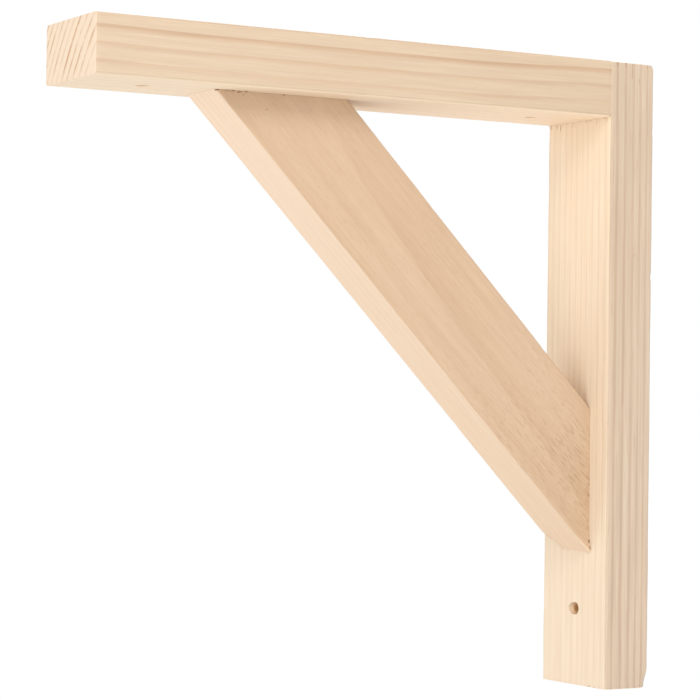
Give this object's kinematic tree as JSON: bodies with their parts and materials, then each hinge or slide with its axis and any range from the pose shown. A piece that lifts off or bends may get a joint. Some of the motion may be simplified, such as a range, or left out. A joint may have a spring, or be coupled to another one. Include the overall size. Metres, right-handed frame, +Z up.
{
  "type": "shelf bracket",
  "caption": "Triangular pine shelf bracket: a level arm and an upright post joined by a slanting brace, drilled for screws.",
  "frame": {"origin": "middle of the post's back face, which lies against the wall", "axes": "+Y into the wall, -Y along the arm to its tip, +Z up, X across the bracket's width"},
  "size_m": [0.05, 0.28, 0.285],
  "materials": {
    "arm_pine": "planed and lightly sanded, unfinished, with straight grain",
    "post_pine": "planed and lightly sanded, unfinished, with fine straight grain",
    "brace_pine": "planed, unfinished, with faint slanting grain"
  },
  "bodies": {
    "root": {"shelf_arm": "arm_pine", "wall_post": "post_pine", "diagonal_brace": "brace_pine"}
  },
  "joints": []
}
